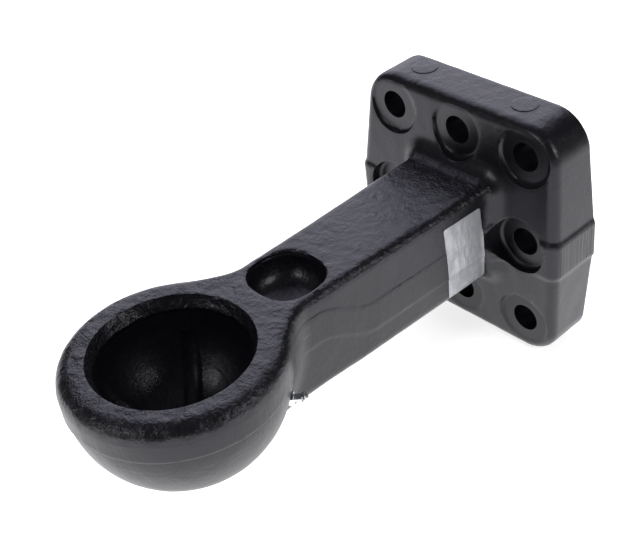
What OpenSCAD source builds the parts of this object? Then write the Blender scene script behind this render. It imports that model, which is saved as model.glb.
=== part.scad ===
// Flanged ball hitch: one closed-die steel forging with a machined bolt
// flange and a socket for an 80 mm coupling ball, a grease nipple and a
// bare identification label.
//
// Frame: the origin is the centre of the flange's mounting face, X runs
// along the neck to the socket, Z is up, and the socket opens upwards.
// The forging dies close along Z, so every forged wall tapers away from
// a parting land that steps up from the neck to the cup.

/* [Flange] */
// Width of the flange beside its parting land
flange_w = 153.5; // [146:0.5:160]
// How far the forged outline sits to one side of the bolt pattern
flange_shift = 1; // [0:0.25:2]
// Height of the flange
flange_h = 158; // [156:0.5:164]
// How far the flange's outline and land sit below the middle of the bolt pattern
flange_drop = 2.5; // [0:0.25:3]
// Thickness of the flange beside its parting land
flange_t = 36; // [34:0.5:44]
// Radius of the flange's four corners
corner_r = 20; // [15:0.5:26]
// Rounding of the flange's front edge
edge_r = 6; // [3:0.5:8]
// Draft of the flange's sides, in degrees
side_draft = 5.5; // [3:0.5:8]
// Draft of the flange's front face, in degrees
face_draft = 5.3; // [3:0.1:6]
// Height of each ejector mark on the top edge
ejector_h = 0.4; // [0.2:0.1:0.8]
// Diameter of each ejector mark
ejector_d = 16; // [12:0.5:18]
// Distance between the two ejector marks
ejector_pitch = 76; // [60:1:80]
// How far the pair of marks sits to one side of the bolt pattern
ejector_shift = 4; // [0:0.5:5]
// Distance from the mounting face to the middle of each mark
ejector_x = 10.5; // [10:0.5:17]

/* [Bolt holes] */
// Distance between the outer hole columns
pitch_y = 100; // [94:0.5:102]
// Distance between the outer hole rows
pitch_z = 115; // [108:0.5:116]
// Diameter of a bolt hole
hole_d = 17.5; // [13:0.5:18]
// Diameter of the machined seat under a bolt head
seat_d = 36; // [30:0.5:37]
// Distance from the mounting face to the floor of the seats
seat_x = 30; // [27:0.5:31]
// Radius between a seat's floor and its wall
seat_r = 2.5; // [1:0.25:3]

/* [Neck] */
// Distance from the mounting face to the middle of the ball socket
reach = 246; // [230:1:300]
// Width of the neck by the flange
neck_w_root = 62.5; // [56:0.5:66]
// Width of the neck by the cup
neck_w_end = 54.5; // [50:0.5:60]
// Height of the neck's top face
neck_top = 34.9; // [32:0.1:35]
// Depth of the neck's bottom face below the middle of the flange
neck_bottom = 30; // [26:0.5:32]
// Draft of the neck's sides, in degrees
neck_draft = 2.5; // [1:0.25:5]
// Rounding of the neck's top edges
top_r = 5; // [3:0.5:8]
// Rounding of the neck's bottom edges
bottom_r = 8; // [4:0.5:10]
// Fillet between the neck and the flange
root_r = 12; // [8:0.5:14]
// Fillet between the neck and the cup
cup_fillet_r = 14; // [8:0.5:18]

/* [Parting land] */
// Height of the trimmed land around the flange
land_h = 21; // [12:0.5:24]
// How far the trimmed land stands proud
land_proud = 1; // [0.5:0.1:1.5]
// Height of the trimmed land on the neck
neck_land_h = 16.5; // [10:0.5:20]
// Rise of the parting plane from the neck to the cup
land_rise = 15.5; // [8:0.5:18]
// Distance from the middle of the socket back to the foot of that rise
rise_back = 113; // [100:1:120]
// Length of the rise along the neck
rise_l = 39; // [30:1:50]

/* [Cup] */
// Outside diameter of the cup at its land
cup_d = 120; // [116:0.5:126]
// Radius of the cup's domed underside
dome_r = 59; // [57:0.5:61]
// Height of the dome's centre
dome_z = 18.4; // [16:0.1:20]
// Height of the cup's rim
rim_z = 35.2; // [34:0.1:40]
// Rounding of the rim's outer edge
rim_r = 9.5; // [5:0.5:10]
// Bottom of the land around the cup
cup_land_low = 16.5; // [15:0.5:18]

/* [Ball socket] */
// Diameter of the coupling ball
ball_d = 80; // [76:0.5:82]
// Clearance around the ball
ball_gap = 0.4; // [0.2:0.1:1]
// Height of the ball's centre
ball_z = 18; // [16:0.5:20]
// Height at which the machined wall meets the forged lead-in
bore_top = 27; // [24:0.5:29]
// Radius of the forged lead-in at the rim
lead_in_r = 43.5; // [42.5:0.25:46]
// Rounding of the rim's inner edge
inner_edge_r = 1; // [0.5:0.25:3]
// Width of a grease groove
groove_w = 9.5; // [6:0.5:11]
// Depth of a grease groove
groove_depth = 2.2; // [1:0.1:3]

/* [Relief pocket] */
// Distance from the middle of the socket back to the pocket's middle
pocket_back = 78; // [74:0.5:82]
// Length of the pocket at the top
pocket_l = 39; // [30:0.5:42]
// Width of the pocket at the top
pocket_w = 41; // [30:0.5:42]
// Depth of the pocket in its middle
pocket_depth = 19; // [10:0.5:24]

/* [Grease nipple] */
// Height of the nipple's axis
nipple_z = -3.3; // [-6:0.1:0]
// Distance from the cup's axis to the nipple's seat
nipple_seat = 54.5; // [53.5:0.1:55]
// Diameter of the nipple's seat
nipple_seat_d = 12.5; // [11:0.5:14]
// Width of the nipple's hexagon across its flats
hex_af = 7; // [7:0.5:9]
// Diameter of the nipple's threaded shank
shank_d = 6; // [5:0.5:6]
// Diameter of the nipple's head
head_d = 6.5; // [6:0.1:7]
// Length of the nipple above its seat
nipple_l = 10.5; // [10:0.1:12]
// Diameter of the drilled grease passage
passage_d = 3.5; // [2.5:0.1:4]
// How far the check ball can be pushed in
ball_travel = 0.8; // [0.4:0.1:1]

/* [Label] */
// Length of the label along the neck
label_l = 30; // [20:0.5:34]
// Height of the label's upper edge
label_top = 25; // [20:0.5:26]
// Depth of the label's lower edge
label_bottom = 25; // [15:0.5:26]
// Distance from the mounting face to the label
label_x = 47; // [46:0.5:60]
// Radius of the label's corners
label_r = 1.5; // [0.5:0.1:3]
// Thickness of the label
label_t = 0.25; // [0.15:0.05:0.5]

/* [Hidden] */
$fn = 96;

flange_half = flange_w / 2;
flange_top = flange_h / 2 - flange_drop;
flange_bottom = flange_h / 2 + flange_drop;
land_half = land_h / 2;
root_x = flange_t + root_r;
ball_r = ball_d / 2 + ball_gap;
cup_r = cup_d / 2;
dome_bottom = dome_z - dome_r;
cup_land_high = rim_z - rim_r;
neck_end = reach - 15;
fillet_start = reach - dome_r - 1;
// The top of the neck's land rises once more to meet the cup's land
top_rise_back = 70;
top_rise_l = 22;
// Length of the slope beside each land
land_step = 0.9;
// A blended skin dips this far below the face that it runs into
skin_sink = 0.3;
// Every cutter runs this far past the surface that it opens
over = 20;

// Distance between the rings of the neck where its shape changes
ring_gap = 6;
corner_steps = 7;
edge_steps = 5;
fillet_steps = 6;

nipple_turn = 135;
bore_gap = 0.02;
valve_ball_r = 1.2;
chamber_r = valve_ball_r + 0.15;
guide_r = valve_ball_r - 0.05;
head_l = 4.2;
neck_d = 4.4;
hex_l = 3;
shank_l = 5.2;
// The check ball shuts a cone below the nipple's tip
cone_r = 0.95;
cone_l = 0.9;
cone_z = nipple_l - valve_ball_r - 0.2;
valve_ball_z = cone_z + 0.06;
// The shank's end is staked over to carry the spring
staked_r = 0.7;
staked_l = 0.6;
spring_gap = 0.03;
spring_r = 0.9;
spring_wire = 0.3;
spring_turns = 7;

function mix(a, b, t) = a + (b - a) * t;
function ease(t) = t <= 0 ? 0 : t >= 1 ? 1 : t * t * (3 - 2 * t);
function arc(first, last, steps) = [for (i = [0:steps]) mix(first, last, i / steps)];

// Front face of the flange at a height, on its land or beside it
function flange_front(z) =
    let (away = abs(z + flange_drop) - land_half)
    away < land_step / 2 ? flange_t + land_proud : flange_t - away * tan(face_draft);

// Half of the flange's outline from top to bottom: y, z and its normal
function flange_corner(sign) =
    let (
        t = tan(side_draft),
        z_mid = (sign > 0 ? flange_top : flange_bottom) - corner_r,
        above_land = z_mid + sign * flange_drop - land_half,
        y_mid = flange_half - above_land * t - corner_r * sqrt(1 + t * t),
        turn = arc(90, side_draft, corner_steps)
    )
    [for (a = sign > 0 ? turn : [for (i = [corner_steps:-1:0]) turn[i]])
        [y_mid + corner_r * cos(a), sign * (z_mid + corner_r * sin(a)), cos(a), sign * sin(a)]];

function flange_land() = [
    [flange_half, land_half + land_step - flange_drop, 1, 0],
    [flange_half + land_proud, land_half - flange_drop, 1, 0],
    [flange_half + land_proud, -land_half - flange_drop, 1, 0],
    [flange_half, -land_half - land_step - flange_drop, 1, 0]
];

function flange_side() = concat(flange_corner(1), flange_land(), flange_corner(-1));

// A ring of points: the given half outline and its mirror image
function ring(half) = concat(half, [for (i = [len(half) - 1:-1:0]) [half[i].x, -half[i].y, half[i].z]]);

function flange_ring(a) = ring([for (p = flange_side())
    let (inset = edge_r * (1 - cos(a)), y = p[0] - inset * p[2], z = p[1] - inset * p[3])
    [flange_front(p[1]) - edge_r * (1 - sin(a)), y, z]]);

function flange_back() = ring([for (p = flange_side()) [0, p[0], p[1]]]);

// Half width of the neck at its land, at a distance from the mounting face
function neck_half(x) =
    mix(neck_w_root, neck_w_end, (max(x, root_x) - root_x) / (fillet_start - root_x)) / 2;

// Top of the neck's land: level by the flange, then stepping up to the cup
function land_top(x) =
    neck_land_h / 2 - 0.8
    + land_rise * ease((x - reach + rise_back) / rise_l)
    + (cup_land_high - 0.7 - neck_land_h / 2 - land_rise) * ease((x - reach + top_rise_back) / top_rise_l);

function land_low(x) = -neck_land_h / 2 - 0.8 + land_rise * ease((x - reach + rise_back) / rise_l);

// Rounding of the neck's top edge, growing into the rounding of the rim
function top_round(x) =
    mix(top_r, rim_r + skin_sink, ease((x - fillet_start) / (dome_r - neck_half(reach))));

// Half of the neck's outline at a distance: y, z and its normal
function neck_side(x) =
    let (
        half = neck_half(x),
        high = land_top(x),
        low = land_low(x),
        t = tan(neck_draft),
        r = top_round(x),
        top_mid = half - (neck_top - r - high) * t - r,
        bottom_mid = half - (low + neck_bottom - bottom_r) * t - bottom_r
    )
    concat(
        [for (k = [0.3, 0.7]) [top_mid * k, neck_top, 0, 1]],
        [for (a = arc(90, 0, fillet_steps)) [top_mid + r * cos(a), neck_top - r + r * sin(a), cos(a), sin(a)]],
        [[half, high + land_step, 1, 0]],
        [for (k = [0, 0.5, 1]) [half + land_proud / 2, mix(high, low, k), 1, 0]],
        [[half, low - land_step, 1, 0]],
        [[mix(half, bottom_mid + bottom_r, 0.5), mix(low, bottom_r - neck_bottom, 0.5), 1, 0]],
        [for (a = arc(0, -90, fillet_steps))
            [bottom_mid + bottom_r * cos(a), bottom_r - neck_bottom + bottom_r * sin(a), cos(a), sin(a)]],
        [for (k = [0.7, 0.3]) [bottom_mid * k, -neck_bottom, 0, -1]]
    );

// Ring where the neck flares out into the flange, a being the fillet's angle
function root_ring(a) = ring([for (p = neck_side(root_x))
    let (out = root_r * (1 - cos(a)), y = p[0] + out * p[2], z = p[1] + out * p[3])
    [flange_front(z) + root_r * (1 - sin(a)) - skin_sink, y, z]]);

// Radius of the cup at a height, from its dome out to its land
function cup_radius(z) = mix(dome_r, cup_r, ease((z - cup_land_low + 5) / 5));

// How far along its fillet to the cup the skin has come at a distance: the
// fillet of a point that faces sideways lies level, another one's is radial
function cup_run(x, p) =
    let (
        down = p[3] < -0.01,
        sx = p[0],
        sz = p[1] - dome_z,
        across = down || sz < 0 ? sz * p[2] - sx * p[3] : 0,
        away = down ? sx * p[2] + sz * p[3] : sx,
        r = sqrt(pow(cup_radius(p[1]), 2) - across * across) - skin_sink,
        back = sqrt(pow(r + cup_fillet_r, 2) - pow(away + cup_fillet_r, 2))
    )
    max(0, min(x, reach - back * r / (r + cup_fillet_r)) - reach + back);

// How far a run along the fillet lifts the skin
function cup_lift(run) = cup_fillet_r - sqrt(cup_fillet_r * cup_fillet_r - run * run);

// Half outline of the neck with its fillet to the cup. The top edge follows
// the side's fillet, and its rounding widens as the side turns outwards.
function neck_ring(x) =
    let (
        side = neck_side(x),
        edge = side[fillet_steps + 2],
        run = cup_run(x, edge),
        out = cup_lift(run),
        wide = cup_fillet_r / sqrt(cup_fillet_r * cup_fillet_r - run * run),
        top_flat = edge[0] + out - top_round(x) * wide
    )
    ring([for (i = [0:len(side) - 1])
        let (p = side[i], lift = cup_lift(cup_run(x, p)))
        i < 2 ? [x, top_flat * [0.3, 0.7][i], p[1]]
        : i < fillet_steps + 3 ? [x, edge[0] + out - top_round(x) * (1 - p[2]) * wide, p[1]]
        : [x, p[0] + lift * p[2], p[1] + lift * p[3]]]);

// Rings from inside the flange to inside the cup
function neck_rings() = concat(
    [ring([for (p = neck_side(root_x)) [seat_x / 2, p[0] + root_r * p[2], p[1] + root_r * p[3]]])],
    [for (a = arc(90, 0, fillet_steps)) root_ring(a)],
    [for (x = [root_x + ring_gap, mix(root_x, reach, 0.22)]) neck_ring(x)],
    [for (x = [reach - rise_back - ring_gap:ring_gap:fillet_start - 1]) neck_ring(x)],
    [for (x = [fillet_start:ring_gap / 3:neck_end]) neck_ring(x)]
);

// Middle of a ring of points
function middle(ring) = [for (axis = [0:2]) let (v = [for (p = ring) p[axis]]) (min(v) + max(v)) / 2];

// Closed skin over rings of the same number of points. Each end is a fan, or
// the last one is strips from side to side, where it bends along the middle.
module loft(rings, strip_end = false) {
    n = len(rings[0]);
    half = n / 2;
    last = (len(rings) - 1) * n;
    first_mid = len(rings) * n;
    polyhedron(
        points = concat(
            [for (r = rings) each r],
            [middle(rings[0])],
            strip_end ? [] : [middle(rings[len(rings) - 1])]
        ),
        faces = concat(
            [for (k = [0:len(rings) - 2]) for (i = [0:n - 1])
                let (a = k * n + i, b = k * n + (i + 1) % n)
                each [[a, b, b + n], [a, b + n, a + n]]],
            [for (i = [0:n - 1]) [(i + 1) % n, i, first_mid]],
            strip_end
            ? [for (i = [0:half - 2]) each [
                [last + i, last + i + 1, last + n - 2 - i],
                [last + i, last + n - 2 - i, last + n - 1 - i]]]
            : [for (i = [0:n - 1]) [last + i, last + (i + 1) % n, first_mid + 1]]
        )
    );
}

module flange_blank() {
    translate([0, -flange_shift, 0])
        loft(concat([flange_back()], [for (a = arc(0, 90, edge_steps)) flange_ring(a)]), strip_end = true);
}

module neck_blank() {
    loft(neck_rings());
}

// Section of the solid cup, right of its axis
module cup_section() {
    intersection() {
        translate([0, dome_z]) circle(r = dome_r);
        translate([0, dome_bottom - 1]) square([cup_r, cup_land_low - dome_bottom + 1]);
    }
    translate([0, cup_land_low]) square([cup_r, cup_land_high - cup_land_low]);
    translate([0, cup_land_low]) square([cup_r - rim_r, rim_z - cup_land_low]);
    intersection() {
        translate([cup_r - rim_r, cup_land_high]) circle(r = rim_r);
        square([cup_r, rim_z]);
    }
}

module cup_blank() {
    translate([reach, 0, 0]) rotate_extrude($fn = 128) cup_section();
}

// Section of the socket: hemisphere, machined wall, forged lead-in
module socket_section() {
    edge_z = rim_z - inner_edge_r;
    intersection() {
        translate([0, ball_z]) circle(r = ball_r);
        translate([0, ball_z - ball_r - 1]) square([ball_r + 1, ball_r + 1]);
    }
    translate([0, ball_z - 0.1]) square([ball_r, bore_top - ball_z + 0.1]);
    polygon([[0, bore_top], [ball_r, bore_top], [lead_in_r, edge_z], [0, edge_z]]);
    difference() {
        translate([0, edge_z]) square([lead_in_r + inner_edge_r, inner_edge_r + over]);
        translate([lead_in_r + inner_edge_r, edge_z]) circle(r = inner_edge_r);
    }
}

// A meridian groove across the hemisphere, cut below the ball's centre
module grease_groove(turn) {
    ring_r = (groove_depth * groove_depth + groove_w * groove_w / 4) / (2 * groove_depth);
    intersection() {
        translate([0, 0, ball_z]) rotate([90, 0, turn]) rotate_extrude()
            translate([ball_r + groove_depth - ring_r, 0]) circle(r = ring_r);
        translate([-ball_r - over, -ball_r - over, ball_z - ball_r - over])
            cube([2 * (ball_r + over), 2 * (ball_r + over), ball_r + over - groove_w / 2]);
    }
}

module socket_cut() {
    translate([reach, 0, 0]) {
        rotate_extrude($fn = 128) socket_section();
        for (turn = [45, nipple_turn]) grease_groove(turn);
    }
}

// Bolt hole with its machined seat, along X
module bolt_cut() {
    rotate([0, 90, 0]) {
        translate([0, 0, -over]) cylinder(d = hole_d, h = seat_x + 2 * over);
        rotate_extrude() union() {
            translate([0, seat_x]) square([seat_d / 2 - seat_r, 2 * over]);
            translate([0, seat_x + seat_r]) square([seat_d / 2, 2 * over]);
            translate([seat_d / 2 - seat_r, seat_x + seat_r]) circle(r = seat_r);
        }
    }
}

module bolt_cuts() {
    for (iy = [-1:1]) for (iz = [-1:1]) if (iy != 0 || iz != 0)
        translate([0, iy * pitch_y / 2, iz * pitch_z / 2]) bolt_cut();
}

// Rounded outline of the pocket around its middle, at a share of its size
function pocket_point(a, share) =
    let (power = 2.4, l = pocket_l / 2, w = pocket_w / 2,
        r = pow(pow(abs(cos(a)) / l, power) + pow(abs(sin(a)) / w, power), -1 / power))
    [r * share * cos(a), r * share * sin(a)];

// Bowl-shaped relief between the neck and the cup, deeper by the cup
module pocket_cut() {
    sides = 40;
    steps = 8;
    lip = 2;
    levels = concat(
        [[1 + 2 * lip / pocket_w, -over], [1 + 2 * lip / pocket_w, -0.05]],
        [for (a = [30, 60]) [1 + 2 * lip * (1 - sin(a)) / pocket_w, lip * (1 - cos(a))]],
        [for (i = [0:steps - 1]) let (a = 90 * i / steps)
            [pow(cos(a), 0.75), lip + (pocket_depth - lip) * sin(a)]]
    );
    floor_tilt = 0.16;
    points = concat(
        [for (level = levels) for (i = [0:sides - 1])
            let (p = pocket_point(360 * i / sides, level[0]))
            [p.x, p.y, neck_top - level[1] * (1 + floor_tilt * p.x / pocket_l)]],
        [[0, 0, neck_top - pocket_depth], [0, 0, neck_top + over]]
    );
    last = (len(levels) - 1) * sides;
    tip = len(levels) * sides;
    translate([reach - pocket_back, 0, 0]) polyhedron(
        points = points,
        faces = concat(
            [for (k = [0:len(levels) - 2]) for (i = [0:sides - 1])
                let (a = k * sides + i, b = k * sides + (i + 1) % sides)
                each [[a, b, b + sides], [a, b + sides, a + sides]]],
            [for (i = [0:sides - 1]) [last + i, last + (i + 1) % sides, tip]],
            [for (i = [0:sides - 1]) [(i + 1) % sides, i, tip + 1]]
        )
    );
}

// Places its children on the nipple's seat, with Z pointing out
module at_nipple() {
    translate([reach, 0, nipple_z]) rotate([0, 90, nipple_turn]) translate([0, 0, nipple_seat])
        children();
}

module nipple_cut() {
    at_nipple() {
        cylinder(d = nipple_seat_d, h = over);
        translate([0, 0, -shank_l - 1]) cylinder(d = shank_d, h = shank_l + 2);
        translate([0, 0, -nipple_seat / 2]) cylinder(d = passage_d, h = nipple_seat / 2, $fn = 32);
    }
}

module ejector_marks() {
    for (side = [-1, 1])
        translate([ejector_x, side * ejector_pitch / 2 - ejector_shift, flange_top - 1])
            cylinder(d = ejector_d, h = 1 + ejector_h);
}

module hitch_body() {
    color("#2b2b30") difference() {
        union() {
            flange_blank();
            neck_blank();
            cup_blank();
            ejector_marks();
        }
        socket_cut();
        bolt_cuts();
        pocket_cut();
        nipple_cut();
    }
}

// Section of the nipple's turned outline, right of its axis
module nipple_section() {
    shank = shank_d / 2 - bore_gap;
    head_low = nipple_l - head_l;
    polygon([
        [0, -shank_l], [shank - 0.5, -shank_l], [shank, -shank_l + 0.5], [shank, hex_l / 2],
        [neck_d / 2, hex_l / 2], [neck_d / 2, head_low + 0.6], [head_d / 2, head_low + 1.6],
        [head_d / 2, head_low + 2.4], [head_d / 2 - 1.6, nipple_l - 0.2], [head_d / 2 - 1.8, nipple_l],
        [0, nipple_l]
    ]);
}

// Bore of the nipple: the check ball's chamber with its cone above and its
// stop below, the spring's guide, and the staked end
module valve_bore() {
    stop_z = valve_ball_z - ball_travel - sqrt(valve_ball_r * valve_ball_r - guide_r * guide_r) - bore_gap;
    translate([0, 0, -shank_l - 1]) cylinder(r = staked_r, h = shank_l);
    translate([0, 0, staked_l - shank_l]) cylinder(r = guide_r, h = shank_l + stop_z);
    translate([0, 0, stop_z]) cylinder(r = chamber_r, h = cone_z - stop_z);
    translate([0, 0, cone_z - 0.01]) cylinder(r1 = chamber_r, r2 = cone_r, h = cone_l);
    translate([0, 0, cone_z]) cylinder(r = cone_r, h = over);
}

module grease_nipple() {
    color("#c9ccd0") at_nipple() union() {
        difference() {
            rotate_extrude($fn = 48) nipple_section();
            valve_bore($fn = 32);
        }
        difference() {
            cylinder(d = hex_af / cos(30), h = hex_l, $fn = 6);
            translate([0, 0, -1]) cylinder(d = neck_d - 0.4, h = hex_l + 2);
        }
    }
}

module check_ball() {
    color("#b8bcc2") at_nipple() translate([0, 0, valve_ball_z]) sphere(r = valve_ball_r, $fn = 48);
}

// Coil spring that holds the check ball shut, as one swept wire
module valve_spring() {
    sides = 6;
    per_turn = 12;
    wire_r = spring_wire / 2;
    low = staked_l - shank_l + wire_r + spring_gap;
    high = valve_ball_z - sqrt(pow(valve_ball_r + wire_r + spring_gap, 2) - spring_r * spring_r);
    count = spring_turns * per_turn;
    tilt = atan2(high - low, spring_turns * 360 * spring_r * PI / 180);
    points = [for (k = [0:count]) for (i = [0:sides - 1])
        let (
            turn = 360 * k / per_turn,
            a = 360 * i / sides,
            r = spring_r + wire_r * cos(a),
            off = wire_r * sin(a)
        )
        [
            r * cos(turn) + off * sin(tilt) * sin(turn),
            r * sin(turn) - off * sin(tilt) * cos(turn),
            mix(low, high, k / count) + off * cos(tilt)
        ]];
    last = count * sides;
    color("#8f9499") at_nipple() polyhedron(
        points = points,
        faces = concat(
            [for (k = [0:count - 1]) for (i = [0:sides - 1])
                let (a = k * sides + i, b = k * sides + (i + 1) % sides)
                each [[a, a + sides, b + sides], [a, b + sides, b]]],
            [[for (i = [0:sides - 1]) i]],
            [[for (i = [sides - 1:-1:0]) last + i]]
        )
    );
}

// Half width of the neck's skin at a distance and a height
function skin_y(x, z) =
    let (
        high = land_top(x),
        low = land_low(x),
        out = z > high + land_step ? -(z - high - land_step) * tan(neck_draft)
            : z < low - land_step ? (z - low + land_step) * tan(neck_draft)
            : z > high ? land_proud / 2 * (1 - (z - high) / land_step)
            : z < low ? land_proud / 2 * (1 - (low - z) / land_step)
            : land_proud / 2,
        into = max(0, flange_front(z) + root_r - x),
        flare = root_r - sqrt(root_r * root_r - into * into)
    )
    neck_half(x) + out + flare;

// Thin foil with rounded corners that follows the neck's side across its land
module label() {
    gap = 0.06;
    high = land_top(label_x);
    low = land_low(label_x);
    ends = [for (a = [0, 30, 60, 90]) label_r * (1 - cos(a))];
    along = concat(ends, [label_l * 0.35, label_l * 0.65], [for (i = [3:-1:0]) label_l - ends[i]]);
    x_steps = len(along) - 1;
    rows = [for (layer = [gap, gap + label_t]) for (d = along)
        let (
            x = label_x + d,
            into = max(0, label_r - min(d, label_l - d)),
            cut = label_r - sqrt(label_r * label_r - into * into),
            top = label_top - cut,
            bottom = cut - label_bottom
        )
        [for (z = [top, mix(top, high, 0.5), high + land_step, high, low,
            low - land_step, mix(bottom, low, 0.5), bottom])
            [x, skin_y(x, z) + layer, z]]];
    nz = len(rows[0]);
    layer = (x_steps + 1) * nz;
    grid = [for (i = [0:x_steps - 1]) for (j = [0:nz - 2])
        [i * nz + j, i * nz + j + 1, (i + 1) * nz + j + 1, (i + 1) * nz + j]];
    border = concat(
        [for (j = [0:nz - 2]) j],
        [for (i = [0:x_steps - 1]) i * nz + nz - 1],
        [for (j = [nz - 1:-1:1]) x_steps * nz + j],
        [for (i = [x_steps:-1:1]) i * nz]
    );
    color("#c8c9cc") polyhedron(
        points = [for (r = rows) each r],
        faces = concat(
            [for (q = grid) each [[q[0], q[2], q[1]], [q[0], q[3], q[2]]]],
            [for (q = grid) each [
                [layer + q[0], layer + q[1], layer + q[2]],
                [layer + q[0], layer + q[2], layer + q[3]]]],
            [for (i = [0:len(border) - 1])
                let (a = border[i], b = border[(i + 1) % len(border)])
                each [[a, b, layer + b], [a, layer + b, layer + a]]]
        )
    );
}

hitch_body();
grease_nipple();
check_ball();
valve_spring();
label();
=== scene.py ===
"""Looks of the forged ball hitch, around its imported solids.

The forging is one skin with blends in every direction, so it is not a grid
of two parameters: it is written as a field of signed distances, in
millimetres, and drawn as a net of four-sided faces on the surface where
that field is zero. The nipple and its ball are profiles carried round an
axis, the spring is a wire carried along a helix, and the label is a sheet
on a grid of two parameters.
"""

import math

import bpy
import numpy as np
from mathutils import Matrix, Vector


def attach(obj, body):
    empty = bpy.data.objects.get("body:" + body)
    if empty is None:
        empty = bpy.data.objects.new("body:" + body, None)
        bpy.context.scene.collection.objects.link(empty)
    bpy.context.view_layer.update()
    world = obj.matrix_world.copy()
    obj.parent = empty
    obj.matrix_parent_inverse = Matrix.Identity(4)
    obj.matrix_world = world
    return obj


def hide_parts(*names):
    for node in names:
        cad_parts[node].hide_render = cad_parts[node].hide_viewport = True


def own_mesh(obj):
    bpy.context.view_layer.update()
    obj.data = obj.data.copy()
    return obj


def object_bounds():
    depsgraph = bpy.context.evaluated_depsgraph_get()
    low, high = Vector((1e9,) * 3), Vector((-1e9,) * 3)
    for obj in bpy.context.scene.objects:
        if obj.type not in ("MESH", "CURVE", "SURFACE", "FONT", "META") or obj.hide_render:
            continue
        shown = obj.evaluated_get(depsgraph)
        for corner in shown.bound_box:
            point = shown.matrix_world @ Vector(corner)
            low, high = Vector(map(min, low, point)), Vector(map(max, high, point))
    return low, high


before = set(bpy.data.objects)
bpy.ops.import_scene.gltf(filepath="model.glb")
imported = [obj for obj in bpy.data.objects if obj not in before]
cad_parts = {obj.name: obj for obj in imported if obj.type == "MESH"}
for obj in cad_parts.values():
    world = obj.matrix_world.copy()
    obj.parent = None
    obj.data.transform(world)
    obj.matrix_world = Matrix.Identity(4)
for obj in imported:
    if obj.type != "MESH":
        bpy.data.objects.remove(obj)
cad_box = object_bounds()
MM = 0.001

# Sizes of the forging in millimetres, as its solid has them. X runs from the
# mounting face to the cup, Z is up, and Y = 0 is the middle of the neck.
# The flange
flange_w = 153.5
flange_shift = 1.0
flange_top = 76.5
flange_bottom = 81.5
flange_t = 36.0
corner_r = 20.0
edge_r = 6.0
side_draft = 5.5
face_draft = 5.3
# The two ejector marks on the flange's top
ejector_h = 0.4
ejector_d = 16.0
ejector_pitch = 76.0
ejector_shift = 4.0
ejector_x = 10.5
ejector_root = 2.0
# The bolt holes and their seats
pitch_y = 100.0
pitch_z = 115.0
hole_d = 17.5
seat_d = 36.0
seat_x = 30.0
seat_r = 2.5
# The neck
reach = 246.0
neck_w_root = 62.5
neck_w_end = 54.5
neck_top = 34.9
neck_bottom = 30.0
neck_draft = 2.5
bottom_r = 8.0
root_r = 12.0
cup_fillet_r = 14.0
# The land where the dies met: its height on the flange and on the neck, and
# the two places behind the cup's axis where it climbs
land_h = 21.0
land_drop = 2.5
land_proud = 1.0
neck_land_h = 16.5
neck_land_drop = 0.8
neck_land_share = 0.36
land_rise = 15.5
rise_back = 113.0
rise_l = 39.0
top_rise_back = 70.0
top_rise_l = 22.0
top_rise_short = 0.7
# The cup
cup_d = 120.0
dome_r = 59.0
dome_z = 18.4
rim_z = 35.2
rim_r = 9.5
cup_land_low = 16.5
cup_land_high = rim_z - rim_r
# The socket and its grease grooves
ball_r = 40.4
ball_z = 18.0
bore_top = 27.0
lead_in_r = 43.5
inner_edge_r = 1.0
groove_w = 9.5
groove_depth = 2.2
# The pocket in the neck's top
pocket_back = 78.0
pocket_l = 39.0
pocket_w = 41.0
pocket_depth = 19.0
pocket_lip = 2.0
# The nipple's seat and holes
nipple_z = -3.3
nipple_seat = 54.5
nipple_seat_d = 12.5
nipple_turn = math.radians(135)
shank_d = 6.0
shank_l = 5.2
tap_spare = 1.0
passage_d = 3.5
# The label
label_x = 47.0
label_l = 30.0
label_top = 25.0
label_bottom = 25.0
label_corner_r = 1.5
label_lean = 0.04
# Places that follow from these
root_x = flange_t + root_r
fillet_start = reach - dome_r - 1
neck_end = reach - 15
behind_cup = 180.0

# What the paint and the hammer leave softer than the solid has it: the width
# over which each land runs out, and the radius of edges
flange_step = 4.2
cup_step = 1.8
neck_step = 2.3
top_r = 6.2
spot_edge_r = 0.8
machined_edge_r = 0.25


def tan_deg(angle):
    """Tangent of an angle in degrees."""
    return math.tan(math.radians(angle))


def cos_deg(angle):
    """Cosine of an angle in degrees."""
    return math.cos(math.radians(angle))


def mix(a, b, t):
    """Straight-line change from a to b as t goes from 0 to 1."""
    return a + (b - a) * t


def ease(t):
    """Smooth step: 0 below 0, 1 above 1, with no kink at either end."""
    t = np.clip(t, 0, 1)
    return t * t * (3 - 2 * t)


def rounded_corner(a, b, r):
    """Distance to the corner where distances a and b meet, its edge rounded to radius r."""
    return np.minimum(-r, np.maximum(a, b)) + np.hypot(np.maximum(a + r, 0), np.maximum(b + r, 0))


def filleted_join(a, b, r):
    """Distance to two bodies at distances a and b, joined by a fillet of radius r."""
    return np.maximum(r, np.minimum(a, b)) - np.hypot(np.maximum(r - a, 0), np.maximum(r - b, 0))


def plane_waves(x, y, z, lengths, seed):
    """Unevenness from -1 to 1: the mean of sine waves of the given lengths, each its own way."""
    rng = np.random.default_rng(seed)
    total = np.zeros_like(x)
    for length in lengths:
        way = rng.normal(size=3)
        way *= 2 * math.pi / length / np.linalg.norm(way)
        total += np.sin(way[0] * x + way[1] * y + way[2] * z + rng.uniform(0, 2 * math.pi))
    return total / len(lengths)


def flange(x, y, z):
    """Drafted slab with rounded corners and front edge. Its land stands proud by a smooth step."""
    beyond = np.maximum(np.abs(z + land_drop) - land_h / 2, 0)
    side = np.abs(y + flange_shift) - flange_w / 2 + tan_deg(side_draft) * beyond
    ends = np.maximum(z - flange_top, -z - flange_bottom)
    outline = rounded_corner(side * cos_deg(side_draft), ends, corner_r)
    front = (x - flange_t + tan_deg(face_draft) * beyond) * cos_deg(face_draft)
    return rounded_corner(outline, front, edge_r) - land_proud * (1 - ease(beyond / flange_step))


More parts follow.
